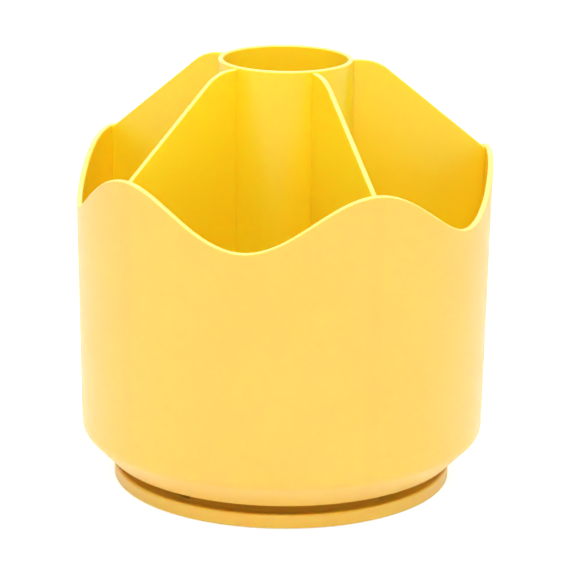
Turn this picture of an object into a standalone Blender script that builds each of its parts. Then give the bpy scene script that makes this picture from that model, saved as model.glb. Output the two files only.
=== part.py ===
"""Rotating pen holder: a cup with a wavy rim, five compartments and a centre tube, which turns on a
low round base. Twelve steel balls in a cage run between a track in the base and a track under the
cup. A screw and a washer under the base keep the cup on its pivot.

Metres, +Z up. The origin is on the turning axis, where the feet stand. The front is towards -Y.
"""

import math

import bmesh
import bpy
from mathutils import Vector

MM = 0.001
AXIS = 0.0
GROUND = 0.0

# Space between pieces that touch or run in each other
CLEARANCE = 0.3 * MM
# How far a cutting solid runs past the face it cuts
OVERRUN = 1.0 * MM

# Rubber feet
FOOT_COUNT = 4
FOOT_RADIUS = 5.0 * MM
FOOT_THICKNESS = 1.2 * MM
FOOT_PROUD = 0.5 * MM
FOOT_INSET = 8.2 * MM
FOOT_EDGE = 0.3 * MM

# Base dish, which stands in from the cup's foot all round
BASE_INSET = 1.4 * MM
BASE_FLOOR = 2.0 * MM
BASE_RIM_RISE = 2.2 * MM
BASE_RIM_WALL = 1.8 * MM
BASE_RIM_FILLET = 1.0 * MM
BASE_EDGE = 0.5 * MM
BASE_LIP_SHARE = 0.45
BASE_TURN = math.radians(2.0)

# Balls, their tracks, their cage and the race wall round them
BALL_COUNT = 12
BALL_RADIUS = 2.5 * MM
BALL_INSET = 13.7 * MM
CAGE_WEB = 0.9 * MM
CAGE_THICKNESS = 1.6 * MM
RACE_WALL = 1.5 * MM
RACE_WALL_GAP = 0.6 * MM
RACE_ROOF = 0.4 * MM
RACE_RIB_DROP = 1.0 * MM
RACE_RIB_WIDTH = 5.8 * MM
WINDOW_COUNT = 4
WINDOW_WIDTH = 6.5 * MM
WINDOW_SILL = 0.3 * MM

# Pivot: boss on the cup, hub on the base, washer and screw
BOSS_RADIUS = 6.5 * MM
HUB_WALL = 2.0 * MM
HUB_ROOF = 2.5 * MM
HUB_RECESS_MARGIN = 2.0 * MM
WASHER_RADIUS = 10.0 * MM
WASHER_THICKNESS = 1.0 * MM
SCREW_RADIUS = 1.5 * MM
SCREW_LENGTH = 6.0 * MM
SCREW_POINT = 0.4 * MM
HEAD_RADIUS = 3.0 * MM
HEAD_HEIGHT = 1.3 * MM
HEAD_ROUND = 0.8 * MM
HEAD_SINK = 0.3 * MM
CROSS_LENGTH = 3.2 * MM
CROSS_WIDTH = 0.8 * MM
CROSS_DEPTH = 0.7 * MM

# Cup drum
RIM_RADIUS = 63.4 * MM
RIM_MEAN = 95.9 * MM
RIM_WAVE = 8.1 * MM
DRAFT = math.radians(0.92)
WALL = 1.8 * MM
CUP_FLOOR = 2.0 * MM
CUP_FOOT_INSET = 9.8 * MM
CONE_ANGLE = math.radians(45.0)
CORNER_FILLET = 5.0 * MM
FOOT_FILLET = 0.6 * MM
FLOOR_FILLET = 2.0 * MM
LIP_ROUND = 0.6 * MM

# Centre tube and dividers
COMPARTMENTS = 5
FIRST_DIVIDER = math.radians(24.9)
DIVIDER_THICKNESS = 1.6 * MM
DIVIDER_ROUND = 0.4 * MM
DIVIDER_STEP = 0.65 * MM
CREST_STEP = 0.65 * MM
DIVIDER_FLAT = 7.2 * MM
SHOULDER_FILLET = 14.0 * MM
TUBE_RADIUS = 20.4 * MM
TUBE_WALL = 1.6 * MM
TUBE_TOP = 132.0 * MM

# Levels inside the cup's floor, as shares of its thickness, where the pieces joined to it end
TUBE_FOOT_SHARE = 0.5
DIVIDER_FOOT_SHARE = 0.35
BOSS_TOP_SHARE = 0.65

# Facets
CUP_SEGMENTS = 90
TUBE_SEGMENTS = 50
BASE_SEGMENTS = 72
SMALL_SEGMENTS = 24
POCKET_SEGMENTS = 16
BALL_SEGMENTS = 12
BALL_RINGS = 7
SMOOTH_BELOW = math.radians(30.0)

# Heights of the stack, from the ground up
BASE_BOTTOM = GROUND + FOOT_PROUD
DISH_LEVEL = BASE_BOTTOM + BASE_FLOOR
TRACK_RADIUS = BALL_RADIUS + CLEARANCE
BALL_HEIGHT = DISH_LEVEL + BALL_RADIUS
CUP_BOTTOM = BALL_HEIGHT + TRACK_RADIUS + RACE_ROOF
CUP_INSIDE = CUP_BOTTOM + CUP_FLOOR
TUBE_FOOT = CUP_BOTTOM + CUP_FLOOR * TUBE_FOOT_SHARE
DIVIDER_FOOT = CUP_BOTTOM + CUP_FLOOR * DIVIDER_FOOT_SHARE
BOSS_TOP = CUP_BOTTOM + CUP_FLOOR * BOSS_TOP_SHARE
HUB_UNDER = BASE_BOTTOM + HEAD_SINK + HEAD_HEIGHT + WASHER_THICKNESS + 2 * CLEARANCE
WASHER_TOP = HUB_UNDER - CLEARANCE
HEAD_TOP = WASHER_TOP - WASHER_THICKNESS - CLEARANCE
SCREW_TIP = HEAD_TOP + SCREW_LENGTH

# Radii, from the rim inwards and from the pivot outwards
CUP_FOOT_RADIUS = RIM_RADIUS - CUP_FOOT_INSET
BASE_RADIUS = CUP_FOOT_RADIUS - BASE_INSET
FOOT_CIRCLE = BASE_RADIUS - FOOT_INSET
BALL_CIRCLE = BASE_RADIUS - BALL_INSET
CAGE_OUTER = BALL_CIRCLE + TRACK_RADIUS + CAGE_WEB
CAGE_INNER = BALL_CIRCLE - TRACK_RADIUS - CAGE_WEB
RACE_WALL_INNER = CAGE_OUTER + CLEARANCE
RACE_WALL_OUTER = RACE_WALL_INNER + RACE_WALL
BORE_RADIUS = BOSS_RADIUS + CLEARANCE
SCREW_HOLE = SCREW_RADIUS + CLEARANCE
HUB_RECESS = WASHER_RADIUS + HUB_RECESS_MARGIN
HUB_RADIUS = HUB_RECESS + HUB_WALL


def clear_scene():
    for item in list(bpy.data.objects):
        bpy.data.objects.remove(item, do_unlink=True)


def linear(channel):
    """One colour channel, from 0 to 255 as a screen shows it, turned into linear light."""
    share = channel / 255.0
    return share / 12.92 if share <= 0.04045 else ((share + 0.055) / 1.055) ** 2.4


def make_material(name, screen_colour, roughness, metallic=0.0):
    material = bpy.data.materials.new(name)
    material.use_nodes = True
    shader = material.node_tree.nodes["Principled BSDF"]
    shader.inputs["Base Color"].default_value = [linear(c) for c in screen_colour] + [1.0]
    shader.inputs["Roughness"].default_value = roughness
    shader.inputs["Metallic"].default_value = metallic
    return material


def make_mesh(name, bm, material=None):
    """A mesh from a bmesh, with its faces out and its round surfaces shaded smooth."""
    bmesh.ops.recalc_face_normals(bm, faces=bm.faces)
    mesh = bpy.data.meshes.new(name)
    bm.to_mesh(mesh)
    bm.free()
    mesh.shade_smooth()
    mesh.set_sharp_from_angle(angle=SMOOTH_BELOW)
    if material:
        mesh.materials.append(material)
    return mesh


def place(name, mesh, parent=None, location=(0.0, 0.0, 0.0), azimuth=None):
    """An object for a mesh. An azimuth turns its own X axis to point outwards there."""
    item = bpy.data.objects.new(name, mesh)
    item.parent = parent
    item.location = location
    if azimuth is not None:
        item.rotation_euler.z = azimuth - math.pi / 2
    bpy.context.scene.collection.objects.link(item)
    return item


def combine(target, tool, operation):
    """Join a solid to the target, or cut it out, and keep the solid only as a hidden guide."""
    tool.hide_render = True
    tool.display_type = "WIRE"
    modifier = target.modifiers.new(tool.name, "BOOLEAN")
    modifier.operation = operation
    modifier.solver = "EXACT"
    modifier.object = tool


def heading(azimuth):
    """Level unit vector at an azimuth, which counts from the front (-Y) towards +X."""
    return Vector((math.sin(azimuth), -math.cos(azimuth), 0.0))


def spot(radius, azimuth, height):
    return heading(azimuth) * radius + Vector((0.0, 0.0, height))


def spread(count, start=0.0):
    """Azimuths of equal steps round the axis."""
    return [start + 2 * math.pi * i / count for i in range(count)]


def fillet(before, corner, after, radius, steps):
    """Points of the arc that rounds a corner of an outline."""
    before, corner, after = Vector(before), Vector(corner), Vector(after)
    back = (before - corner).normalized()
    ahead = (after - corner).normalized()
    half = back.angle(ahead) / 2
    centre = corner + (back + ahead).normalized() * radius / math.sin(half)
    first = corner + back * radius / math.tan(half) - centre
    last = corner + ahead * radius / math.tan(half) - centre
    start = math.atan2(first.y, first.x)
    sweep = math.remainder(math.atan2(last.y, last.x) - start, 2 * math.pi)
    turns = [start + sweep * i / steps for i in range(steps + 1)]
    return [(centre.x + radius * math.cos(t), centre.y + radius * math.sin(t)) for t in turns]


def lip(outside, inside, top, radius, steps):
    """The two rounded edges along the top of an upright wall, from its outside to its inside."""
    outer = fillet((outside, GROUND), (outside, top), (inside, top), radius, steps)
    inner = fillet((outside, top), (inside, top), (inside, GROUND), radius, steps)
    return outer + inner


def track(level, steps):
    """Arc of the ball track where it breaks a level face, from its inner edge to its outer edge."""
    rise = level - BALL_HEIGHT
    half = math.acos(abs(rise) / TRACK_RADIUS)
    reach = math.copysign(TRACK_RADIUS, rise)
    turns = [half * (2 * i / steps - 1) for i in range(steps + 1)]
    return [(BALL_CIRCLE + TRACK_RADIUS * math.sin(t), BALL_HEIGHT + reach * math.cos(t)) for t in turns]


def lathe(outline_at, segments, start=0.0):
    """Carry an outline of (radius, height) points round the Z axis. The outline may change with the
    azimuth. It starts and ends on the axis, or it closes on itself away from the axis."""
    bm = bmesh.new()
    columns = []
    for azimuth in spread(segments, start):
        points = outline_at(azimuth)
        column = []
        for i, (radius, height) in enumerate(points):
            shared = radius == AXIS and columns
            column.append(columns[0][i] if shared else bm.verts.new(spot(radius, azimuth, height)))
        columns.append(column)
    closed = points[0][0] != AXIS
    rows = len(points) if closed else len(points) - 1
    for here, there in zip(columns, columns[1:] + columns[:1]):
        for i in range(rows):
            j = (i + 1) % len(points)
            bm.faces.new(dict.fromkeys((here[i], there[i], there[j], here[j])))
    return bm


def turned(outline, segments, start=0.0):
    """A lathe piece with the same outline all round."""
    return lathe(lambda azimuth: outline, segments, start)


def disc(radius, bottom, top, segments=SMALL_SEGMENTS):
    return turned([(AXIS, bottom), (radius, bottom), (radius, top), (AXIS, top)], segments)


def ring(outer, inner, bottom, top, segments, start=0.0):
    return turned([(outer, bottom), (outer, top), (inner, top), (inner, bottom)], segments, start)


def block(low, high):
    """A box between two opposite corners."""
    bm = bmesh.new()
    bmesh.ops.create_cube(bm, size=1.0)
    bmesh.ops.scale(bm, vec=[b - a for a, b in zip(low, high)], verts=bm.verts)
    bmesh.ops.translate(bm, vec=[(a + b) / 2 for a, b in zip(low, high)], verts=bm.verts)
    return bm


def plate(outline_at, thickness, edge):
    """An upright plate in the XZ plane. outline_at gives its (x, z) points with the top lowered by a
    drop, and the plate's two faces are lowered by the edge, which rounds the top."""
    bm = bmesh.new()
    half = thickness / 2
    loops = []
    for y, drop in ((-half, edge), (edge - half, 0.0), (half - edge, 0.0), (half, edge)):
        loops.append([bm.verts.new((x, y, z)) for x, z in outline_at(drop)])
    bm.faces.new(loops[0])
    bm.faces.new(reversed(loops[-1]))
    for here, there in zip(loops, loops[1:]):
        for i, vertex in enumerate(here):
            j = (i + 1) % len(here)
            bm.faces.new((vertex, here[j], there[j], there[i]))
    return bm


def wall_radius(height):
    """Outer radius of the drum, which widens upwards by its moulding draft."""
    return RIM_RADIUS - (RIM_MEAN - height) * math.tan(DRAFT)


def rim_height(azimuth):
    """Height of the wavy rim, which has a crest at each divider."""
    return RIM_MEAN + RIM_WAVE * math.cos(COMPARTMENTS * (azimuth - FIRST_DIVIDER))


def cone_radius(inset, height):
    """Radius of the cone at the drum's foot, at a depth inside its outer skin."""
    return CUP_FOOT_RADIUS - inset / math.sin(CONE_ANGLE) + (height - CUP_BOTTOM) / math.tan(CONE_ANGLE)


def drum_corner(inset):
    """Point where the drum's wall meets its cone, at a depth inside the outer skin."""
    run = wall_radius(CUP_BOTTOM) - inset - cone_radius(inset, CUP_BOTTOM)
    height = CUP_BOTTOM + run / (1 / math.tan(CONE_ANGLE) - math.tan(DRAFT))
    return (cone_radius(inset, height), height)


def race_rib():
    """Rib under the cup that holds the upper ball track, from its inner side to its outer side."""
    low = CUP_BOTTOM - RACE_RIB_DROP
    inner = BALL_CIRCLE - RACE_RIB_WIDTH / 2
    outer = BALL_CIRCLE + RACE_RIB_WIDTH / 2
    return [(inner, CUP_BOTTOM), (inner, low), *track(low, 4), (outer, low), (outer, CUP_BOTTOM)]


def drum_outline(azimuth):
    """Section of the drum: underside, cone, wall, rim, inner wall and floor."""
    top = rim_height(azimuth)
    outside = wall_radius(top)
    inside = outside - WALL
    foot = (CUP_FOOT_RADIUS, CUP_BOTTOM)
    corner = drum_corner(0.0)
    inner_corner = drum_corner(WALL)
    inner_foot = (cone_radius(WALL, CUP_INSIDE), CUP_INSIDE)
    return [
        (AXIS, CUP_BOTTOM),
        *race_rib(),
        *fillet((AXIS, CUP_BOTTOM), foot, corner, FOOT_FILLET, 1),
        *fillet(foot, corner, (outside, top), CORNER_FILLET, 4),
        *lip(outside, inside, top, LIP_ROUND, 2),
        *fillet((inside, top), inner_corner, inner_foot, CORNER_FILLET - WALL, 3),
        *fillet(inner_corner, inner_foot, (AXIS, CUP_INSIDE), FLOOR_FILLET, 2),
        (AXIS, CUP_INSIDE),
    ]


def tube_outline():
    """Section of the centre tube, which stands in the cup's floor."""
    inner = TUBE_RADIUS - TUBE_WALL
    edges = lip(TUBE_RADIUS, inner, TUBE_TOP, LIP_ROUND, 2)
    return [(TUBE_RADIUS, TUBE_FOOT), *edges, (inner, TUBE_FOOT)]


def divider_outline(drop):
    """Side view of a divider: level beside the tube, then sloping down to just under the crest of the
    rim. Its ends and its foot are let into the middle of the walls they join."""
    root = TUBE_RADIUS - TUBE_WALL / 2
    top = TUBE_TOP - DIVIDER_STEP
    shoulder = (TUBE_RADIUS + DIVIDER_FLAT, top)
    crest = rim_height(FIRST_DIVIDER) - CREST_STEP
    crest_inside = wall_radius(crest) - WALL
    slope = (crest - top) / (crest_inside - shoulder[0])
    end = (crest_inside + WALL / 2, crest + slope * WALL / 2)
    upper = [(root, top), *fillet((root, top), shoulder, end, SHOULDER_FILLET, 4), end]
    foot = (cone_radius(WALL / 2, DIVIDER_FOOT), DIVIDER_FOOT)
    lower = [drum_corner(WALL / 2), foot, (root, DIVIDER_FOOT)]
    return [(x, z - drop) for x, z in upper] + lower


def base_outline():
    """Section of the base: hub recess, underside, rim, dish, race wall, ball track and hub."""
    rim_top = DISH_LEVEL + BASE_RIM_RISE
    rim_inner = BASE_RADIUS - BASE_RIM_WALL
    race_top = CUP_BOTTOM - RACE_WALL_GAP
    hub_top = HUB_UNDER + HUB_ROOF
    dish_corner = (rim_inner, DISH_LEVEL)
    return [
        (BORE_RADIUS, HUB_UNDER),
        (HUB_RECESS, HUB_UNDER),
        (HUB_RECESS, BASE_BOTTOM),
        (BASE_RADIUS - BASE_EDGE, BASE_BOTTOM),
        (BASE_RADIUS, BASE_BOTTOM + BASE_EDGE),
        *lip(BASE_RADIUS, rim_inner, rim_top, BASE_RIM_WALL * BASE_LIP_SHARE, 2),
        *fillet((rim_inner, rim_top), dish_corner, (RACE_WALL_OUTER, DISH_LEVEL), BASE_RIM_FILLET, 2),
        (RACE_WALL_OUTER, DISH_LEVEL),
        (RACE_WALL_OUTER, race_top),
        (RACE_WALL_INNER, race_top),
        (RACE_WALL_INNER, DISH_LEVEL),
        *reversed(track(DISH_LEVEL, 2)),
        (HUB_RADIUS, DISH_LEVEL),
        (HUB_RADIUS, hub_top),
        (BORE_RADIUS, hub_top),
    ]


def screw_outline():
    """Section of the pivot screw, from the middle of its head to its tip."""
    low = HEAD_TOP - HEAD_HEIGHT
    return [
        (AXIS, low),
        *fillet((AXIS, low), (HEAD_RADIUS, low), (HEAD_RADIUS, HEAD_TOP), HEAD_ROUND, 3),
        (HEAD_RADIUS, HEAD_TOP),
        (SCREW_RADIUS, HEAD_TOP),
        (SCREW_RADIUS, SCREW_TIP - SCREW_POINT),
        (SCREW_RADIUS - SCREW_POINT, SCREW_TIP),
        (AXIS, SCREW_TIP),
    ]


def make_base(plastic):
    """Base dish, with windows through the race wall and seats for the feet."""
    base = place("base", make_mesh("base", turned(base_outline(), BASE_SEGMENTS), plastic))
    low = (RACE_WALL_INNER - OVERRUN, -WINDOW_WIDTH / 2, DISH_LEVEL + WINDOW_SILL)
    high = (RACE_WALL_OUTER + OVERRUN, WINDOW_WIDTH / 2, CUP_BOTTOM)
    window = make_mesh("window", block(low, high))
    for azimuth in spread(WINDOW_COUNT, BASE_TURN + math.pi / WINDOW_COUNT):
        combine(base, place("window", window, azimuth=azimuth), "DIFFERENCE")
    seat_top = GROUND + FOOT_THICKNESS + CLEARANCE
    seat = make_mesh("foot_seat", disc(FOOT_RADIUS + CLEARANCE, GROUND - OVERRUN, seat_top))
    for azimuth in spread(FOOT_COUNT, BASE_TURN):
        combine(base, place("foot_seat", seat, location=spot(FOOT_CIRCLE, azimuth, 0.0)), "DIFFERENCE")


def make_feet(rubber):
    """Rubber discs with a broken lower edge, let into the base."""
    outline = [
        (AXIS, GROUND),
        (FOOT_RADIUS - FOOT_EDGE, GROUND),
        (FOOT_RADIUS, GROUND + FOOT_EDGE),
        (FOOT_RADIUS, GROUND + FOOT_THICKNESS),
        (AXIS, GROUND + FOOT_THICKNESS),
    ]
    mesh = make_mesh("rubber_foot", turned(outline, SMALL_SEGMENTS), rubber)
    for i, azimuth in enumerate(spread(FOOT_COUNT, BASE_TURN)):
        place(f"rubber_foot_{i + 1}", mesh, location=spot(FOOT_CIRCLE, azimuth, 0.0))


def make_cup(plastic, turning):
    """Cup body: drum, centre tube, dividers and pivot boss in one moulding."""
    drum = lathe(drum_outline, CUP_SEGMENTS, FIRST_DIVIDER + math.pi / CUP_SEGMENTS)
    cup = place("cup_body", make_mesh("cup_body", drum, plastic), turning)
    tube = make_mesh("tube", turned(tube_outline(), TUBE_SEGMENTS))
    combine(cup, place("tube", tube, turning), "UNION")
    divider = make_mesh("divider", plate(divider_outline, DIVIDER_THICKNESS, DIVIDER_ROUND))
    for azimuth in spread(COMPARTMENTS, FIRST_DIVIDER):
        combine(cup, place("divider", divider, turning, azimuth=azimuth), "UNION")
    boss = make_mesh("boss", disc(BOSS_RADIUS, HUB_UNDER, BOSS_TOP))
    combine(cup, place("boss", boss, turning), "UNION")
    hole = make_mesh("screw_hole", disc(SCREW_HOLE, HUB_UNDER - OVERRUN, SCREW_TIP + CLEARANCE))
    combine(cup, place("screw_hole", hole, turning), "DIFFERENCE")


def make_pivot(steel, turning):
    """Washer and screw that hold the cup down. They turn with the cup."""
    washer = ring(WASHER_RADIUS, SCREW_HOLE, WASHER_TOP - WASHER_THICKNESS, WASHER_TOP, SMALL_SEGMENTS)
    place("pivot_washer", make_mesh("pivot_washer", washer, steel), turning)
    mesh = make_mesh("pivot_screw", turned(screw_outline(), SMALL_SEGMENTS), steel)
    screw = place("pivot_screw", mesh, turning)
    low = HEAD_TOP - HEAD_HEIGHT
    reach = (CROSS_LENGTH / 2, CROSS_WIDTH / 2)
    slot = make_mesh("cross_slot", block((-reach[0], -reach[1], low - OVERRUN), (*reach, low + CROSS_DEPTH)))
    for azimuth in (0.0, math.pi / 2):
        combine(screw, place("cross_slot", slot, turning, azimuth=azimuth), "DIFFERENCE")


def make_bearing(cage_plastic, ball_steel, cage_turning):
    """Ball cage with a pocket for each ball, and the balls in it."""
    bottom = BALL_HEIGHT - CAGE_THICKNESS / 2
    top = BALL_HEIGHT + CAGE_THICKNESS / 2
    band = ring(CAGE_OUTER, CAGE_INNER, bottom, top, BASE_SEGMENTS, math.pi / BASE_SEGMENTS)
    cage = place("ball_cage", make_mesh("ball_cage", band, cage_plastic), cage_turning)
    pocket = make_mesh("pocket", disc(TRACK_RADIUS, bottom - OVERRUN, top + OVERRUN, POCKET_SEGMENTS))
    sphere = bmesh.new()
    bmesh.ops.create_uvsphere(sphere, u_segments=BALL_SEGMENTS, v_segments=BALL_RINGS, radius=BALL_RADIUS)
    ball = make_mesh("ball", sphere, ball_steel)
    for i, azimuth in enumerate(spread(BALL_COUNT)):
        combine(cage, place("pocket", pocket, cage_turning, spot(BALL_CIRCLE, azimuth, 0.0)), "DIFFERENCE")
        place(f"ball_{i + 1:02d}", ball, cage_turning, spot(BALL_CIRCLE, azimuth, BALL_HEIGHT), azimuth)


def main():
    clear_scene()
    cup_turning = place("cup_axis", None)
    cage_turning = place("cage_axis", None)
    make_base(make_material("base plastic", (250, 200, 95), 0.35))
    make_feet(make_material("foot rubber", (58, 58, 60), 0.85))
    make_cup(make_material("cup plastic", (254, 208, 92), 0.35), cup_turning)
    steel = make_material("zinc plated steel", (196, 199, 204), 0.35, 1.0)
    make_pivot(steel, cup_turning)
    ball_steel = make_material("ball steel", (214, 216, 220), 0.12, 1.0)
    make_bearing(make_material("cage plastic", (236, 236, 232), 0.45), ball_steel, cage_turning)


main()
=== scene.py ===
"""Looks of the rotating pen holder: fine surfaces, materials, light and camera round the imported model.

Metres, +Z up, the holder's axis on Z, and the photograph's viewer on the -Y side.
"""

import math

import bmesh
import bpy
from mathutils import Matrix, Vector


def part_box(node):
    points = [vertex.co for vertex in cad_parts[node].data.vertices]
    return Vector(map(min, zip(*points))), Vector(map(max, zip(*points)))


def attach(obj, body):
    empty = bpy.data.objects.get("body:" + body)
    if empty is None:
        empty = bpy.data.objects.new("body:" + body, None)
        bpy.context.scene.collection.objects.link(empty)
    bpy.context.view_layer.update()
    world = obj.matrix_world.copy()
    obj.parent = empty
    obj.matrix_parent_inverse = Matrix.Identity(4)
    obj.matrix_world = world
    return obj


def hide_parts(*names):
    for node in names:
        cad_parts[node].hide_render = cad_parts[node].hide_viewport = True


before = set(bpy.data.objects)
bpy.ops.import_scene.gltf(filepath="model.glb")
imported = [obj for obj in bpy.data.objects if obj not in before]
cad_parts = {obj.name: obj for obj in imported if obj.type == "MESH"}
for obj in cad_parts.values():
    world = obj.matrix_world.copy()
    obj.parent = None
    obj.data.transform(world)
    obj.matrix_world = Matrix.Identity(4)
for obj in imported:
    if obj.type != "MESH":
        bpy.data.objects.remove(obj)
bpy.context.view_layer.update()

MM = 0.001
AXIS = 0.0

# Levels and radii read from the model
BASE_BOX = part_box("base")
CUP_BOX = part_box("cup_body")
CAGE_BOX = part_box("ball_cage")
WASHER_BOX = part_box("pivot_washer")
SCREW_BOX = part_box("pivot_screw")
FOOT_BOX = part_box("rubber_foot_1")
BASE_BOTTOM = BASE_BOX[0].z
BASE_RADIUS = BASE_BOX[1].x
RACE_TOP = BASE_BOX[1].z
TUBE_TOP = CUP_BOX[1].z
BOSS_END = CUP_BOX[0].z
CAGE_OUTER = CAGE_BOX[1].x
WASHER_RADIUS = WASHER_BOX[1].x
FOOT_THICKNESS = FOOT_BOX[1].z

# Cup drum
CLEARANCE = 0.3 * MM
OVERRUN = 1.0 * MM
CUP_BOTTOM = 8.2 * MM
CUP_FLOOR = 2.0 * MM
CUP_INSIDE = CUP_BOTTOM + CUP_FLOOR
RIM_RADIUS = 63.4 * MM
RIM_MEAN = 95.9 * MM
RIM_WAVE = 8.1 * MM
DRAFT = math.radians(0.92)
WALL = 1.8 * MM
CUP_FOOT_RADIUS = 53.6 * MM
CONE_ANGLE = math.radians(45.0)
CORNER_FILLET = 5.0 * MM
FOOT_FILLET = 0.6 * MM
FLOOR_FILLET = 2.0 * MM
LIP_ROUND = 0.6 * MM
BOSS_RADIUS = 6.5 * MM

# Levels inside the cup's floor, as shares of its thickness, where the pieces joined to it end
TUBE_FOOT_SHARE = 0.5
DIVIDER_FOOT_SHARE = 0.35
BOSS_TOP_SHARE = 0.65

# Centre tube and dividers
COMPARTMENTS = 5
FIRST_DIVIDER = math.radians(24.9)
DIVIDER_THICKNESS = 1.6 * MM
DIVIDER_ROUND = 0.5 * MM
DIVIDER_STEP = 0.65 * MM
CREST_STEP = 0.65 * MM
DIVIDER_FLAT = 7.2 * MM
SHOULDER_FILLET = 14.0 * MM
TUBE_RADIUS = 20.4 * MM
TUBE_WALL = 1.6 * MM

# Base, race and bearing
DISH_LEVEL = 2.5 * MM
BASE_RIM_RISE = 2.2 * MM
BASE_RIM_WALL = 1.8 * MM
BASE_RIM_FILLET = 1.0 * MM
BASE_EDGE = 0.5 * MM
BASE_LIP_SHARE = 0.45
BASE_TURN = math.radians(2.0)
BALL_COUNT = 12
BALL_RADIUS = 2.5 * MM
BALL_HEIGHT = DISH_LEVEL + BALL_RADIUS
BALL_CIRCLE = 38.5 * MM
TRACK_RADIUS = BALL_RADIUS + CLEARANCE
CAGE_INNER = 2 * BALL_CIRCLE - CAGE_OUTER
CAGE_EDGE = 0.25 * MM
RACE_WALL_INNER = CAGE_OUTER + CLEARANCE
RACE_WALL = 1.5 * MM
RACE_WALL_OUTER = RACE_WALL_INNER + RACE_WALL
RACE_EDGE = 0.3 * MM
RACE_RIB_DROP = 1.0 * MM
RACE_RIB_WIDTH = 5.8 * MM
WINDOW_COUNT = 4
WINDOW_WIDTH = 6.5 * MM
WINDOW_SILL = 0.3 * MM

# Pivot and feet
HUB_RISE = 2.5 * MM
HUB_ROOM = 2.0 * MM
HUB_WALL = 2.0 * MM
HUB_TOP = BOSS_END + HUB_RISE
HUB_RECESS = WASHER_RADIUS + HUB_ROOM
HUB_RADIUS = HUB_RECESS + HUB_WALL
HUB_EDGE = 0.4 * MM
BORE_RADIUS = BOSS_RADIUS + CLEARANCE
SCREW_RADIUS = 1.5 * MM
SCREW_HOLE = SCREW_RADIUS + CLEARANCE
SCREW_POINT = 0.4 * MM
HEAD_RADIUS = 3.0 * MM
HEAD_HEIGHT = 1.3 * MM
HEAD_ROUND = 0.8 * MM
CROSS_LENGTH = 3.2 * MM
CROSS_WIDTH = 0.8 * MM
CROSS_DEPTH = 0.7 * MM
CROSS_TAPER_SHARE = 0.55
WASHER_EDGE = 0.2 * MM
FOOT_COUNT = 4
FOOT_RADIUS = 5.0 * MM
FOOT_CIRCLE = 44.0 * MM
FOOT_EDGE = 0.3 * MM

# Camera, as fitted to the photograph
CAMERA_DISTANCE = 851.1 * MM
CAMERA_HEIGHT = 308.2 * MM
CAMERA_YAW = math.radians(0.069)
CAMERA_PITCH = math.radians(16.243)
CAMERA_ROLL = math.radians(0.659)
CAMERA_LENS = 180.73
CAMERA_SENSOR = 36.0

# Light: the world's strength on the object, and softboxes in watts
WORLD_FILL = 0.4
TOP_POWER = 3.5
FRONT_POWER = 6.0
SIDE_POWER = 1.6
BACK_POWER = 3.0
BOX_SIZE = 0.6
BOX_AIM = (0.0, 0.0, 0.06)
TOP_PLACE = (0.0, -0.1, 1.0)
FRONT_PLACE = (0.0, -0.75, 0.85)
BACK_PLACE = (0.0, 0.6, 0.9)
SIDE_REACH = 0.9
SIDE_DEPTH = -0.2
SIDE_HEIGHT = 0.5

# Floor
FLOOR_REACH = 3.0
FLOOR_GLOW = 0.72
FLOOR_COLOUR = (0.85, 0.85, 0.85, 1.0)
FLOOR_ROUGHNESS = 0.9

# Fineness of round surfaces
DRUM_SEGMENTS = 180
TUBE_SEGMENTS = 96
SMALL_SEGMENTS = 48

# Colours in linear light
CUP_OUTSIDE = (0.98, 0.61, 0.095)
# Painted bounce light: a deeper colour for the cup's inside, where light bounces between its yellow walls
CUP_INSIDE_PAINTED_BOUNCE_COLOUR = (1.0, 0.71, 0.01)
# Painted highlight: a paler colour on the up-facing surfaces near the rim, where the top light falls
CUP_PAINTED_HIGHLIGHT_COLOUR = (1.0, 0.76, 0.22)
BASE_COLOUR = (0.98, 0.58, 0.08)
NYLON_COLOUR = (0.84, 0.83, 0.78)
BALL_COLOUR = (0.68, 0.69, 0.71)
ZINC_COLOUR = (0.55, 0.57, 0.6)
RUBBER_COLOUR = (0.035, 0.035, 0.037)
DUST_COLOUR = (0.075, 0.073, 0.07)

# Values between which a noise swings from its low end to its high end
NOISE_LOW_SHARE = 0.3
NOISE_HIGH_SHARE = 0.7
GRAIN_DETAIL = 3.0

# Plastics: grain sizes, depths, roughness and the light let through
PLASTIC_CLOUD = 30 * MM
PLASTIC_PATCH = 6 * MM
PLASTIC_GRAIN = 0.35 * MM
PLASTIC_GRAIN_DEPTH = 0.004 * MM
BASE_CLOUD = 12 * MM
NYLON_CLOUD = 5 * MM
TONE_SHARE = 0.015
BASE_TONE_SHARE = 1.03
NYLON_TONE_SHARE = 0.95
PLASTIC_ROUGHNESS = 0.38
NYLON_ROUGHNESS = 0.45
ROUGHNESS_SPREAD = 0.03
PLASTIC_GLOW_SHARE = 1.0
NYLON_GLOW_SHARE = 0.4
GLOW_SHARES = (1.0, 0.45, 0.12)
GLOW_REACH = 2.5 * MM

# Cup colours: depths where the painted bounce light of the inside starts and ends, the painted shade over
# each divider, and the painted highlight along the up-facing top edges
PAINTED_BOUNCE_START = 0.4 * MM
PAINTED_BOUNCE_END = 1.4 * MM
# Painted shade: a faint darker line on the outside over each divider, where less light comes through the
# wall
DIVIDER_SHADE_SHARE = 0.5
DIVIDER_SHADE_TONE_SHARE = 0.96
DIVIDER_SHADE_START_SHARE = 0.975
DIVIDER_SHADE_END_SHARE = 0.997
UPWARD_START_SHARE = 0.1
UPWARD_END_SHARE = 0.8
HIGHLIGHT_START_SHARE = 1.4
HIGHLIGHT_END_SHARE = 1.2

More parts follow.
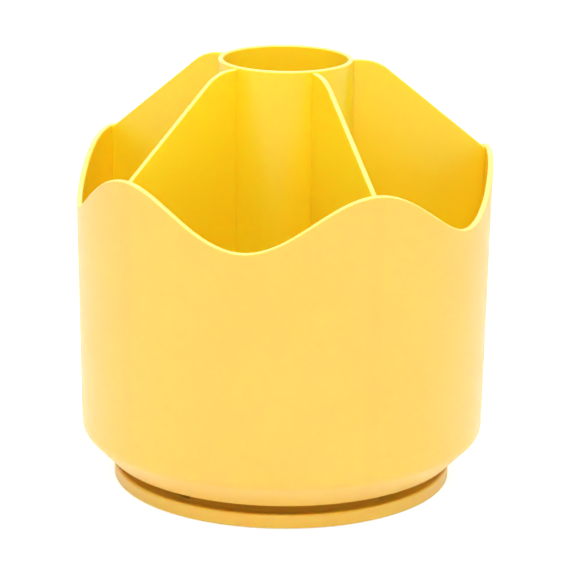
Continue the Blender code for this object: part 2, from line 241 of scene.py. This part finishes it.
# Steel and rubber: grain sizes, depths and roughness
METAL_PATCH = 1.5 * MM
METAL_SCRATCH = 0.12 * MM
BALL_SCRATCH_DEPTH = 0.0005 * MM
ZINC_SCRATCH_DEPTH = 0.002 * MM
BALL_ROUGHNESS = 0.1
ZINC_ROUGHNESS = 0.32
RUBBER_DUST = 2.0 * MM
RUBBER_GRAIN = 0.25 * MM
RUBBER_GRAIN_DEPTH = 0.03 * MM
RUBBER_ROUGHNESS = 0.7
DUST_ROUGHNESS = 0.92
DUST_START_SHARE = 0.45
DUST_END_SHARE = 0.75
DUST_DETAIL = 5.0
METAL_DETAIL = 4.0
METAL_TONE_SHARE = 0.9
METAL_SMOOTH_SHARE = 0.8
METAL_ROUGH_SHARE = 1.3


def heading(azimuth):
    """Level unit vector at an azimuth, which counts from the front (-Y) towards +X."""
    return Vector((math.sin(azimuth), -math.cos(azimuth), 0.0))


def spot(radius, azimuth, height):
    return heading(azimuth) * radius + Vector((0.0, 0.0, height))


def spread(count, start=0.0):
    """Azimuths of equal steps round the axis."""
    return [start + 2 * math.pi * i / count for i in range(count)]


def fillet(before, corner, after, radius, steps):
    """Points of the arc that rounds a corner of an outline."""
    before, corner, after = Vector(before), Vector(corner), Vector(after)
    back = (before - corner).normalized()
    ahead = (after - corner).normalized()
    half = back.angle(ahead) / 2
    centre = corner + (back + ahead).normalized() * radius / math.sin(half)
    first = corner + back * radius / math.tan(half) - centre
    last = corner + ahead * radius / math.tan(half) - centre
    start = math.atan2(first.y, first.x)
    sweep = math.remainder(math.atan2(last.y, last.x) - start, 2 * math.pi)
    turns = [start + sweep * i / steps for i in range(steps + 1)]
    return [(centre.x + radius * math.cos(t), centre.y + radius * math.sin(t)) for t in turns]


def lip(outside, inside, top, radius, steps):
    """The two rounded edges along the top of an upright wall, from its outside to its inside."""
    outer = fillet((outside, AXIS), (outside, top), (inside, top), radius, steps)
    inner = fillet((outside, top), (inside, top), (inside, AXIS), radius, steps)
    return outer + inner


def rounded(corners, radius, steps):
    """A closed outline with all its corners rounded."""
    points = []
    for i, corner in enumerate(corners):
        points += fillet(corners[i - 1], corner, corners[(i + 1) % len(corners)], radius, steps)
    return points


def track(level, steps):
    """Arc of the ball track where it breaks a level face, from its inner edge to its outer edge."""
    rise = level - BALL_HEIGHT
    half = math.acos(abs(rise) / TRACK_RADIUS)
    reach = math.copysign(TRACK_RADIUS, rise)
    turns = [half * (2 * i / steps - 1) for i in range(steps + 1)]
    return [(BALL_CIRCLE + TRACK_RADIUS * math.sin(t), BALL_HEIGHT + reach * math.cos(t)) for t in turns]


def lathe(outline_at, segments, start=0.0):
    """Carry an outline of (radius, height) points round the Z axis. The outline may change with the
    azimuth. It starts and ends on the axis, or it closes on itself away from the axis."""
    bm = bmesh.new()
    columns = []
    for azimuth in spread(segments, start):
        points = outline_at(azimuth)
        column = []
        for i, (radius, height) in enumerate(points):
            shared = radius == AXIS and columns
            column.append(columns[0][i] if shared else bm.verts.new(spot(radius, azimuth, height)))
        columns.append(column)
    closed = points[0][0] != AXIS
    rows = len(points) if closed else len(points) - 1
    for here, there in zip(columns, columns[1:] + columns[:1]):
        for i in range(rows):
            j = (i + 1) % len(points)
            bm.faces.new(dict.fromkeys((here[i], there[i], there[j], here[j])))
    return bm


def turned(outline, segments, start=0.0):
    """A lathe piece with the same outline all round."""
    return lathe(lambda azimuth: outline, segments, start)


def disc(radius, bottom, top, segments=SMALL_SEGMENTS):
    return turned([(AXIS, bottom), (radius, bottom), (radius, top), (AXIS, top)], segments)


def block(low, high, taper_share=1.0):
    """A box between two opposite corners, which narrows upwards by the taper."""
    bm = bmesh.new()
    bmesh.ops.create_cube(bm, size=1.0)
    for vertex in bm.verts:
        if vertex.co.z > 0:
            vertex.co.xy *= taper_share
    bmesh.ops.scale(bm, vec=[b - a for a, b in zip(low, high)], verts=bm.verts)
    bmesh.ops.translate(bm, vec=[(a + b) / 2 for a, b in zip(low, high)], verts=bm.verts)
    return bm


def plate(outline_at, thickness, edge, steps):
    """An upright plate in the XZ plane, with its top edge rounded."""
    bm = bmesh.new()
    flat = thickness / 2 - edge
    turns = [math.pi / 2 * i / steps for i in range(steps + 1)]
    side = [(flat + edge * math.sin(t), edge * (1 - math.cos(t))) for t in turns]
    layers = [(-y, drop) for y, drop in reversed(side)] + side
    loops = [[bm.verts.new((x, y, z)) for x, z in outline_at(drop)] for y, drop in layers]
    bm.faces.new(loops[0])
    bm.faces.new(reversed(loops[-1]))
    for here, there in zip(loops, loops[1:]):
        for i, vertex in enumerate(here):
            j = (i + 1) % len(here)
            bm.faces.new((vertex, here[j], there[j], there[i]))
    return bm


def new_object(name, bm, azimuth=None, location=(0.0, 0.0, 0.0)):
    """An object from a bmesh, with its placement written into the mesh."""
    bmesh.ops.recalc_face_normals(bm, faces=bm.faces)
    turn = Matrix.Rotation(azimuth - math.pi / 2, 4, "Z") if azimuth is not None else Matrix()
    bmesh.ops.transform(bm, matrix=Matrix.Translation(location) @ turn, verts=bm.verts)
    mesh = bpy.data.meshes.new(name)
    bm.to_mesh(mesh)
    bm.free()
    item = bpy.data.objects.new(name, mesh)
    bpy.context.scene.collection.objects.link(item)
    return item


def bake_modifiers(item):
    """Write an object's evaluated shape into its own mesh."""
    graph = bpy.context.evaluated_depsgraph_get()
    shaped = bpy.data.meshes.new_from_object(item.evaluated_get(graph))
    item.modifiers.clear()
    old, item.data = item.data, shaped
    bpy.data.meshes.remove(old)


def combine(target, tool, operation):
    """Join the tool to the target, or cut it out, and drop the tool."""
    modifier = target.modifiers.new("combine", "BOOLEAN")
    modifier.operation = operation
    modifier.solver = "EXACT"
    modifier.object = tool
    bake_modifiers(target)
    bpy.data.objects.remove(tool)


def hand_over(item, body, node, material, angle=30.0):
    """Shade a piece smooth up to its true edges, and let it stand for a node of the model."""
    item.data.shade_smooth()
    item.data.set_sharp_from_angle(angle=math.radians(angle))
    modifier = item.modifiers.new("even normals", "WEIGHTED_NORMAL")
    modifier.keep_sharp = True
    item.data.materials.clear()
    item.data.materials.append(material)
    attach(item, body)
    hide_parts(node)


def wall_radius(height):
    """Outer radius of the drum, which widens upwards by its moulding draft."""
    return RIM_RADIUS - (RIM_MEAN - height) * math.tan(DRAFT)


def rim_height(azimuth):
    """Height of the wavy rim, which has a crest at each divider."""
    return RIM_MEAN + RIM_WAVE * math.cos(COMPARTMENTS * (azimuth - FIRST_DIVIDER))


def cone_radius(inset, height):
    """Radius of the cone at the drum's foot, at a depth inside its outer skin."""
    return CUP_FOOT_RADIUS - inset / math.sin(CONE_ANGLE) + (height - CUP_BOTTOM) / math.tan(CONE_ANGLE)


def drum_corner(inset):
    """Point where the drum's wall meets its cone, at a depth inside the outer skin."""
    run = wall_radius(CUP_BOTTOM) - inset - cone_radius(inset, CUP_BOTTOM)
    height = CUP_BOTTOM + run / (1 / math.tan(CONE_ANGLE) - math.tan(DRAFT))
    return (cone_radius(inset, height), height)


def drum_outline(azimuth):
    """Section of the drum: underside, race rib, cone, wall, rim, inner wall and floor."""
    top = rim_height(azimuth)
    outside = wall_radius(top)
    inside = outside - WALL
    foot = (CUP_FOOT_RADIUS, CUP_BOTTOM)
    corner = drum_corner(0.0)
    inner_corner = drum_corner(WALL)
    inner_foot = (cone_radius(WALL, CUP_INSIDE), CUP_INSIDE)
    rib_low = CUP_BOTTOM - RACE_RIB_DROP
    rib_inner = BALL_CIRCLE - RACE_RIB_WIDTH / 2
    rib_outer = BALL_CIRCLE + RACE_RIB_WIDTH / 2
    rib = [(rib_inner, CUP_BOTTOM), (rib_inner, rib_low), *track(rib_low, 8), (rib_outer, rib_low)]
    return [
        (AXIS, CUP_BOTTOM),
        *rib,
        (rib_outer, CUP_BOTTOM),
        *fillet((AXIS, CUP_BOTTOM), foot, corner, FOOT_FILLET, 3),
        *fillet(foot, corner, (outside, top), CORNER_FILLET, 10),
        *lip(outside, inside, top, LIP_ROUND, 4),
        *fillet((inside, top), inner_corner, inner_foot, CORNER_FILLET - WALL, 6),
        *fillet(inner_corner, inner_foot, (AXIS, CUP_INSIDE), FLOOR_FILLET, 5),
        (AXIS, CUP_INSIDE),
    ]


def tube_outline():
    inner = TUBE_RADIUS - TUBE_WALL
    foot = CUP_BOTTOM + CUP_FLOOR * TUBE_FOOT_SHARE
    return [(TUBE_RADIUS, foot), *lip(TUBE_RADIUS, inner, TUBE_TOP, LIP_ROUND, 4), (inner, foot)]


def divider_outline(drop):
    """Side view of a divider: level beside the tube, then sloping down to just under the crest."""
    root = TUBE_RADIUS - TUBE_WALL / 2
    top = TUBE_TOP - DIVIDER_STEP
    shoulder = (TUBE_RADIUS + DIVIDER_FLAT, top)
    crest = rim_height(FIRST_DIVIDER) - CREST_STEP
    crest_inside = wall_radius(crest) - WALL
    slope = (crest - top) / (crest_inside - shoulder[0])
    end = (crest_inside + WALL / 2, crest + slope * WALL / 2)
    level = CUP_BOTTOM + CUP_FLOOR * DIVIDER_FOOT_SHARE
    upper = [(root, top), *fillet((root, top), shoulder, end, SHOULDER_FILLET, 10), end]
    lower = [drum_corner(WALL / 2), (cone_radius(WALL / 2, level), level), (root, level)]
    return [(x, z - drop) for x, z in upper] + lower


def make_cup(material):
    """Cup body in one moulding: drum, centre tube, dividers and pivot boss with its screw hole."""
    half_facet = math.pi / DRUM_SEGMENTS
    cup = new_object("cup_moulding", lathe(drum_outline, DRUM_SEGMENTS, FIRST_DIVIDER + half_facet))
    combine(cup, new_object("tube", turned(tube_outline(), TUBE_SEGMENTS)), "UNION")
    for azimuth in spread(COMPARTMENTS, FIRST_DIVIDER):
        shape = plate(divider_outline, DIVIDER_THICKNESS, DIVIDER_ROUND, 3)
        combine(cup, new_object("divider", shape, azimuth), "UNION")
    boss_top = CUP_BOTTOM + CUP_FLOOR * BOSS_TOP_SHARE
    combine(cup, new_object("boss", disc(BOSS_RADIUS, BOSS_END, boss_top)), "UNION")
    hole_top = SCREW_BOX[1].z + CLEARANCE
    combine(cup, new_object("hole", disc(SCREW_HOLE, BOSS_END - OVERRUN, hole_top)), "DIFFERENCE")
    hand_over(cup, "cup", "cup_body", material)


def base_outline():
    """Section of the base: hub recess, underside, rim, dish, race wall, ball track and hub."""
    rim_top = DISH_LEVEL + BASE_RIM_RISE
    rim_inner = BASE_RADIUS - BASE_RIM_WALL
    underside = (HUB_RECESS, BASE_BOTTOM)
    edge = (BASE_RADIUS, BASE_BOTTOM)
    dish_corner = (rim_inner, DISH_LEVEL)
    return [
        (BORE_RADIUS, BOSS_END),
        (HUB_RECESS, BOSS_END),
        *fillet((HUB_RECESS, BOSS_END), underside, edge, HUB_EDGE, 3),
        *fillet(underside, edge, (BASE_RADIUS, rim_top), BASE_EDGE, 5),
        *lip(BASE_RADIUS, rim_inner, rim_top, BASE_RIM_WALL * BASE_LIP_SHARE, 6),
        *fillet((rim_inner, rim_top), dish_corner, (RACE_WALL_OUTER, DISH_LEVEL), BASE_RIM_FILLET, 5),
        (RACE_WALL_OUTER, DISH_LEVEL),
        *lip(RACE_WALL_OUTER, RACE_WALL_INNER, RACE_TOP, RACE_EDGE, 3),
        (RACE_WALL_INNER, DISH_LEVEL),
        *reversed(track(DISH_LEVEL, 8)),
        (HUB_RADIUS, DISH_LEVEL),
        *lip(HUB_RADIUS, BORE_RADIUS, HUB_TOP, HUB_EDGE, 3),
    ]


def make_base(material):
    """Base dish, with windows through the race wall and seats for the feet."""
    base = new_object("base_moulding", turned(base_outline(), DRUM_SEGMENTS))
    low = (RACE_WALL_INNER - OVERRUN, -WINDOW_WIDTH / 2, DISH_LEVEL + WINDOW_SILL)
    high = (RACE_WALL_OUTER + OVERRUN, WINDOW_WIDTH / 2, CUP_BOTTOM)
    for azimuth in spread(WINDOW_COUNT, BASE_TURN + math.pi / WINDOW_COUNT):
        combine(base, new_object("window", block(low, high), azimuth), "DIFFERENCE")
    seat_top = FOOT_THICKNESS + CLEARANCE
    for azimuth in spread(FOOT_COUNT, BASE_TURN):
        seat = disc(FOOT_RADIUS + CLEARANCE, -OVERRUN, seat_top)
        combine(base, new_object("seat", seat, location=spot(FOOT_CIRCLE, azimuth, 0.0)), "DIFFERENCE")
    hand_over(base, "base", "base", material)


def make_cage(material):
    """Ring that spaces the balls, with a round pocket for each."""
    low = CAGE_BOX[0].z
    high = CAGE_BOX[1].z
    corners = [(CAGE_OUTER, low), (CAGE_OUTER, high), (CAGE_INNER, high), (CAGE_INNER, low)]
    ring = turned(rounded(corners, CAGE_EDGE, 3), DRUM_SEGMENTS, math.pi / DRUM_SEGMENTS)
    cage = new_object("cage_ring", ring)
    for azimuth in spread(BALL_COUNT):
        pocket = disc(TRACK_RADIUS, low - OVERRUN, high + OVERRUN)
        combine(cage, new_object("pocket", pocket, location=spot(BALL_CIRCLE, azimuth, 0.0)), "DIFFERENCE")
    hand_over(cage, "cage", "ball_cage", material)


def make_balls(material):
    """Polished balls, each turned from half a circle."""
    steps = SMALL_SEGMENTS // 2
    arc = []
    for i in range(1, steps):
        turn = math.pi * i / steps
        arc.append((BALL_RADIUS * math.sin(turn), -BALL_RADIUS * math.cos(turn)))
    outline = [(AXIS, -BALL_RADIUS), *arc, (AXIS, BALL_RADIUS)]
    for i, azimuth in enumerate(spread(BALL_COUNT)):
        node = f"ball_{i + 1:02d}"
        ball = turned(outline, SMALL_SEGMENTS)
        item = new_object(f"steel_{node}", ball, azimuth, spot(BALL_CIRCLE, azimuth, BALL_HEIGHT))
        hand_over(item, node, node, material)


def make_pivot(material):
    """Washer and cross-head screw under the hub."""
    low = WASHER_BOX[0].z
    high = WASHER_BOX[1].z
    corners = [(WASHER_RADIUS, low), (WASHER_RADIUS, high), (SCREW_HOLE, high), (SCREW_HOLE, low)]
    washer = new_object("washer_disc", turned(rounded(corners, WASHER_EDGE, 3), 2 * SMALL_SEGMENTS))
    hand_over(washer, "cup", "pivot_washer", material)
    bottom = SCREW_BOX[0].z
    tip = SCREW_BOX[1].z
    seat = bottom + HEAD_HEIGHT
    outline = [
        (AXIS, bottom),
        *fillet((AXIS, bottom), (HEAD_RADIUS, bottom), (HEAD_RADIUS, seat), HEAD_ROUND, 8),
        (HEAD_RADIUS, seat),
        (SCREW_RADIUS, seat),
        (SCREW_RADIUS, tip - SCREW_POINT),
        (SCREW_RADIUS - SCREW_POINT, tip),
        (AXIS, tip),
    ]
    screw = new_object("cross_screw", turned(outline, SMALL_SEGMENTS))
    slot_low = (-CROSS_LENGTH / 2, -CROSS_WIDTH / 2, bottom - OVERRUN)
    slot_high = (CROSS_LENGTH / 2, CROSS_WIDTH / 2, bottom + CROSS_DEPTH)
    for azimuth in (0.0, math.pi / 2):
        slot = block(slot_low, slot_high, CROSS_TAPER_SHARE)
        combine(screw, new_object("slot", slot, azimuth), "DIFFERENCE")
    hand_over(screw, "cup", "pivot_screw", material)


def make_feet(material):
    """Rubber discs with a rounded lower edge."""
    outline = [
        (AXIS, 0.0),
        *fillet((AXIS, 0.0), (FOOT_RADIUS, 0.0), (FOOT_RADIUS, FOOT_THICKNESS), FOOT_EDGE, 5),
        (FOOT_RADIUS, FOOT_THICKNESS),
        (AXIS, FOOT_THICKNESS),
    ]
    for i, azimuth in enumerate(spread(FOOT_COUNT, BASE_TURN)):
        foot = turned(outline, SMALL_SEGMENTS)
        item = new_object(f"foot_disc_{i + 1}", foot, location=spot(FOOT_CIRCLE, azimuth, 0.0))
        hand_over(item, "base", f"rubber_foot_{i + 1}", material)


def feed(tree, item, socket):
    """Link a socket into another one, or write a plain value on it."""
    if isinstance(item, bpy.types.NodeSocket):
        tree.links.new(item, socket)
    else:
        socket.default_value = item


def maths(tree, operation, *items):
    node = tree.nodes.new("ShaderNodeMath")
    node.operation = operation
    for item, socket in zip(items, node.inputs):
        feed(tree, item, socket)
    return node.outputs[0]


def ease(tree, value, start, end, low=0.0, high=1.0):
    """Smooth step of a value: low up to start, high from end on."""
    node = tree.nodes.new("ShaderNodeMapRange")
    node.interpolation_type = "SMOOTHSTEP"
    feed(tree, value, node.inputs["Value"])
    node.inputs["From Min"].default_value = start
    node.inputs["From Max"].default_value = end
    node.inputs["To Min"].default_value = low
    node.inputs["To Max"].default_value = high
    return node.outputs["Result"]


def noise(tree, vector, size, detail=2.0):
    """Noise whose grains measure about the size given."""
    node = tree.nodes.new("ShaderNodeTexNoise")
    tree.links.new(vector, node.inputs["Vector"])
    node.inputs["Scale"].default_value = 1.0 / size
    node.inputs["Detail"].default_value = detail
    return node.outputs["Fac"]


def blend(tree, share, first, second, mode="MIX"):
    """Mix of two colours by a share of the second."""
    node = tree.nodes.new("ShaderNodeMix")
    node.data_type = "RGBA"
    node.blend_type = mode
    feed(tree, share, node.inputs[0])
    for item, socket in ((first, node.inputs[6]), (second, node.inputs[7])):
        feed(tree, item if isinstance(item, bpy.types.NodeSocket) else (*item, 1.0), socket)
    return node.outputs[2]


def bump(tree, height, depth, shader):
    node = tree.nodes.new("ShaderNodeBump")
    node.inputs["Distance"].default_value = depth
    tree.links.new(height, node.inputs["Height"])
    tree.links.new(node.outputs["Normal"], shader.inputs["Normal"])


def new_material(name):
    """A material, its node tree, its shader and its object coordinates."""
    material = bpy.data.materials.new(name)
    material.use_nodes = True
    tree = material.node_tree
    shader = tree.nodes["Principled BSDF"]
    place = tree.nodes.new("ShaderNodeTexCoord").outputs["Object"]
    return material, tree, shader, place


def soft_plastic(name, colour_of, glow_share, roughness):
    """Satin moulded plastic that lets a little light through, with a fine grain on its skin."""
    material, tree, shader, place = new_material(name)
    cloud = noise(tree, place, PLASTIC_CLOUD)
    tone = ease(tree, cloud, NOISE_LOW_SHARE, NOISE_HIGH_SHARE, 1.0 - TONE_SHARE, 1.0 + TONE_SHARE)
    colour = colour_of(tree, place)
    scale = tree.nodes.new("ShaderNodeVectorMath")
    scale.operation = "SCALE"
    feed(tree, colour, scale.inputs[0])
    feed(tree, tone, scale.inputs["Scale"])
    tree.links.new(scale.outputs[0], shader.inputs["Base Color"])
    grain = noise(tree, place, PLASTIC_GRAIN, GRAIN_DETAIL)
    patch = noise(tree, place, PLASTIC_PATCH)
    smooth = roughness - ROUGHNESS_SPREAD
    rough = roughness + ROUGHNESS_SPREAD
    uneven = ease(tree, patch, NOISE_LOW_SHARE, NOISE_HIGH_SHARE, smooth, rough)
    feed(tree, uneven, shader.inputs["Roughness"])
    bump(tree, grain, PLASTIC_GRAIN_DEPTH, shader)
    shader.inputs["Subsurface Weight"].default_value = glow_share
    shader.inputs["Subsurface Radius"].default_value = GLOW_SHARES
    shader.inputs["Subsurface Scale"].default_value = GLOW_REACH
    return material


def cup_colours_with_painted_light(tree, place):
    """Paler outside than inside, where a deeper colour is painted in for the light bounced between the
    cup's walls; a painted highlight along the up-facing top edges; and a faint painted shade over each
    divider, where the divider holds back light coming through the wall.
    """
    parts = tree.nodes.new("ShaderNodeSeparateXYZ")
    tree.links.new(place, parts.inputs[0])
    x, y, z = parts.outputs
    squares = maths(tree, "ADD", maths(tree, "MULTIPLY", x, x), maths(tree, "MULTIPLY", y, y))
    radius = maths(tree, "SQRT", squares)
    wall = maths(tree, "MULTIPLY_ADD", z, math.tan(DRAFT), wall_radius(0.0))
    cone = maths(tree, "MULTIPLY_ADD", z, 1 / math.tan(CONE_ANGLE), cone_radius(0.0, 0.0))
    depth = maths(tree, "SUBTRACT", maths(tree, "MINIMUM", wall, cone), radius)
    # Painted bounce light: the deeper inside colour fades in with depth under the outer skin
    inside = ease(tree, depth, PAINTED_BOUNCE_START, PAINTED_BOUNCE_END)
    # Painted shade: a faint darker line on the outside over each divider
    around = maths(tree, "ARCTAN2", x, maths(tree, "MULTIPLY", y, -1.0))
    turn = maths(tree, "MULTIPLY_ADD", around, float(COMPARTMENTS), -COMPARTMENTS * FIRST_DIVIDER)
    wave = maths(tree, "COSINE", turn)
    divider_shade = ease(tree, wave, DIVIDER_SHADE_START_SHARE, DIVIDER_SHADE_END_SHARE)
    line = [DIVIDER_SHADE_TONE_SHARE * c for c in CUP_OUTSIDE]
    shaded_over_dividers = blend(tree, maths(tree, "MULTIPLY", divider_shade, DIVIDER_SHADE_SHARE), CUP_OUTSIDE, line)
    colour = blend(tree, inside, shaded_over_dividers, CUP_INSIDE_PAINTED_BOUNCE_COLOUR)
    # Painted highlight: up-facing surfaces high on the cup are blended towards the pale colour
    normal = tree.nodes.new("ShaderNodeSeparateXYZ")
    tree.links.new(tree.nodes.new("ShaderNodeNewGeometry").outputs["Normal"], normal.inputs[0])
    upward = ease(tree, normal.outputs[2], UPWARD_START_SHARE, UPWARD_END_SHARE)
    highlight_start = RIM_MEAN - HIGHLIGHT_START_SHARE * RIM_WAVE
    highlight_end = RIM_MEAN - HIGHLIGHT_END_SHARE * RIM_WAVE
    high = ease(tree, z, highlight_start, highlight_end)
    return blend(tree, maths(tree, "MULTIPLY", upward, high), colour, CUP_PAINTED_HIGHLIGHT_COLOUR)


def base_colours(tree, place):
    """The base's own colour, a little paler in slow clouds."""
    paler = [BASE_TONE_SHARE * c for c in BASE_COLOUR]
    return blend(tree, noise(tree, place, BASE_CLOUD), BASE_COLOUR, paler)


def cage_colours(tree, place):
    deeper = [NYLON_TONE_SHARE * c for c in NYLON_COLOUR]
    return blend(tree, noise(tree, place, NYLON_CLOUD), NYLON_COLOUR, deeper)


def metal(name, colour, roughness, scratch):
    """Steel with fine scratches and slightly uneven shine."""
    material, tree, shader, place = new_material(name)
    shader.inputs["Metallic"].default_value = 1.0
    patch = noise(tree, place, METAL_PATCH, METAL_DETAIL)
    duller = [METAL_TONE_SHARE * c for c in colour]
    feed(tree, blend(tree, patch, colour, duller), shader.inputs["Base Color"])
    smooth = roughness * METAL_SMOOTH_SHARE
    rough = roughness * METAL_ROUGH_SHARE
    uneven = ease(tree, patch, NOISE_LOW_SHARE, NOISE_HIGH_SHARE, smooth, rough)
    feed(tree, uneven, shader.inputs["Roughness"])
    bump(tree, noise(tree, place, METAL_SCRATCH, METAL_DETAIL), scratch, shader)
    return material


def rubber():
    """Dark rubber, dusty in patches, with a fine grain."""
    material, tree, shader, place = new_material("foot rubber")
    specks = noise(tree, place, RUBBER_DUST, DUST_DETAIL)
    dust = ease(tree, specks, DUST_START_SHARE, DUST_END_SHARE)
    feed(tree, blend(tree, dust, RUBBER_COLOUR, DUST_COLOUR), shader.inputs["Base Color"])
    feed(tree, ease(tree, dust, 0.0, 1.0, RUBBER_ROUGHNESS, DUST_ROUGHNESS), shader.inputs["Roughness"])
    bump(tree, noise(tree, place, RUBBER_GRAIN, GRAIN_DETAIL), RUBBER_GRAIN_DEPTH, shader)
    return material


def make_camera():
    """The photograph's view."""
    camera = bpy.data.objects.new("camera", bpy.data.cameras.new("camera"))
    camera.data.lens = CAMERA_LENS
    camera.data.sensor_width = CAMERA_SENSOR
    level = Vector((math.sin(CAMERA_YAW), math.cos(CAMERA_YAW), 0.0))
    forward = math.cos(CAMERA_PITCH) * level - Vector((0.0, 0.0, math.sin(CAMERA_PITCH)))
    right = Vector((level.y, -level.x, 0.0))
    up = right.cross(forward)
    across = math.cos(CAMERA_ROLL) * right + math.sin(CAMERA_ROLL) * up
    upright = math.cos(CAMERA_ROLL) * up - math.sin(CAMERA_ROLL) * right
    pose = Matrix((across, upright, -forward)).transposed().to_4x4()
    camera.matrix_world = Matrix.Translation((0.0, -CAMERA_DISTANCE, CAMERA_HEIGHT)) @ pose
    bpy.context.scene.collection.objects.link(camera)
    bpy.context.scene.camera = camera


def seen_share(tree):
    """Socket that is 1 for rays seen by the camera, in a reflection or through glass."""
    path = tree.nodes.new("ShaderNodeLightPath")
    both = maths(tree, "MAXIMUM", path.outputs["Is Camera Ray"], path.outputs["Is Glossy Ray"])
    return maths(tree, "MAXIMUM", both, path.outputs["Is Transmission Ray"])


def make_world():
    """White surroundings that light the object softly from all sides."""
    world = bpy.data.worlds.new("studio")
    bpy.context.scene.world = world
    world.use_nodes = True
    tree = world.node_tree
    background = tree.nodes["Background"]
    background.inputs["Color"].default_value = (1.0, 1.0, 1.0, 1.0)
    feed(tree, ease(tree, seen_share(tree), 0.0, 1.0, WORLD_FILL, 1.0), background.inputs["Strength"])


def make_floor():
    """Wide white floor that shows only the shadow close to the object."""
    floor = bpy.data.objects.new("floor", bpy.data.meshes.new("floor"))
    corners = [(-FLOOR_REACH, -FLOOR_REACH, 0), (FLOOR_REACH, -FLOOR_REACH, 0)]
    corners += [(FLOOR_REACH, FLOOR_REACH, 0), (-FLOOR_REACH, FLOOR_REACH, 0)]
    floor.data.from_pydata(corners, [], [(0, 1, 2, 3)])
    bpy.context.scene.collection.objects.link(floor)
    material, tree, shader, place = new_material("white floor")
    shader.inputs["Base Color"].default_value = FLOOR_COLOUR
    shader.inputs["Roughness"].default_value = FLOOR_ROUGHNESS
    shader.inputs["Emission Color"].default_value = (1.0, 1.0, 1.0, 1.0)
    feed(tree, maths(tree, "MULTIPLY", seen_share(tree), FLOOR_GLOW), shader.inputs["Emission Strength"])
    floor.data.materials.append(material)


def soft_light(name, place, power):
    """Square area light that points at the object."""
    light = bpy.data.lights.new(name, "AREA")
    light.size = BOX_SIZE
    light.energy = power
    item = bpy.data.objects.new(name, light)
    item.location = place
    item.rotation_euler = (Vector(BOX_AIM) - Vector(place)).to_track_quat("-Z", "Y").to_euler()
    bpy.context.scene.collection.objects.link(item)


make_camera()
make_world()
make_floor()
soft_light("top softbox", TOP_PLACE, TOP_POWER)
soft_light("front softbox", FRONT_PLACE, FRONT_POWER)
soft_light("back softbox", BACK_PLACE, BACK_POWER)
for side in (-1.0, 1.0):
    soft_light("side softbox", (side * SIDE_REACH, SIDE_DEPTH, SIDE_HEIGHT), SIDE_POWER)
make_cup(soft_plastic("cup plastic", cup_colours_with_painted_light, PLASTIC_GLOW_SHARE, PLASTIC_ROUGHNESS))
make_base(soft_plastic("base plastic", base_colours, PLASTIC_GLOW_SHARE, PLASTIC_ROUGHNESS))
make_cage(soft_plastic("cage nylon", cage_colours, NYLON_GLOW_SHARE, NYLON_ROUGHNESS))
make_balls(metal("ball steel", BALL_COLOUR, BALL_ROUGHNESS, BALL_SCRATCH_DEPTH))
make_pivot(metal("zinc plated steel", ZINC_COLOUR, ZINC_ROUGHNESS, ZINC_SCRATCH_DEPTH))
make_feet(rubber())

bpy.context.scene.view_settings.view_transform = "Standard"
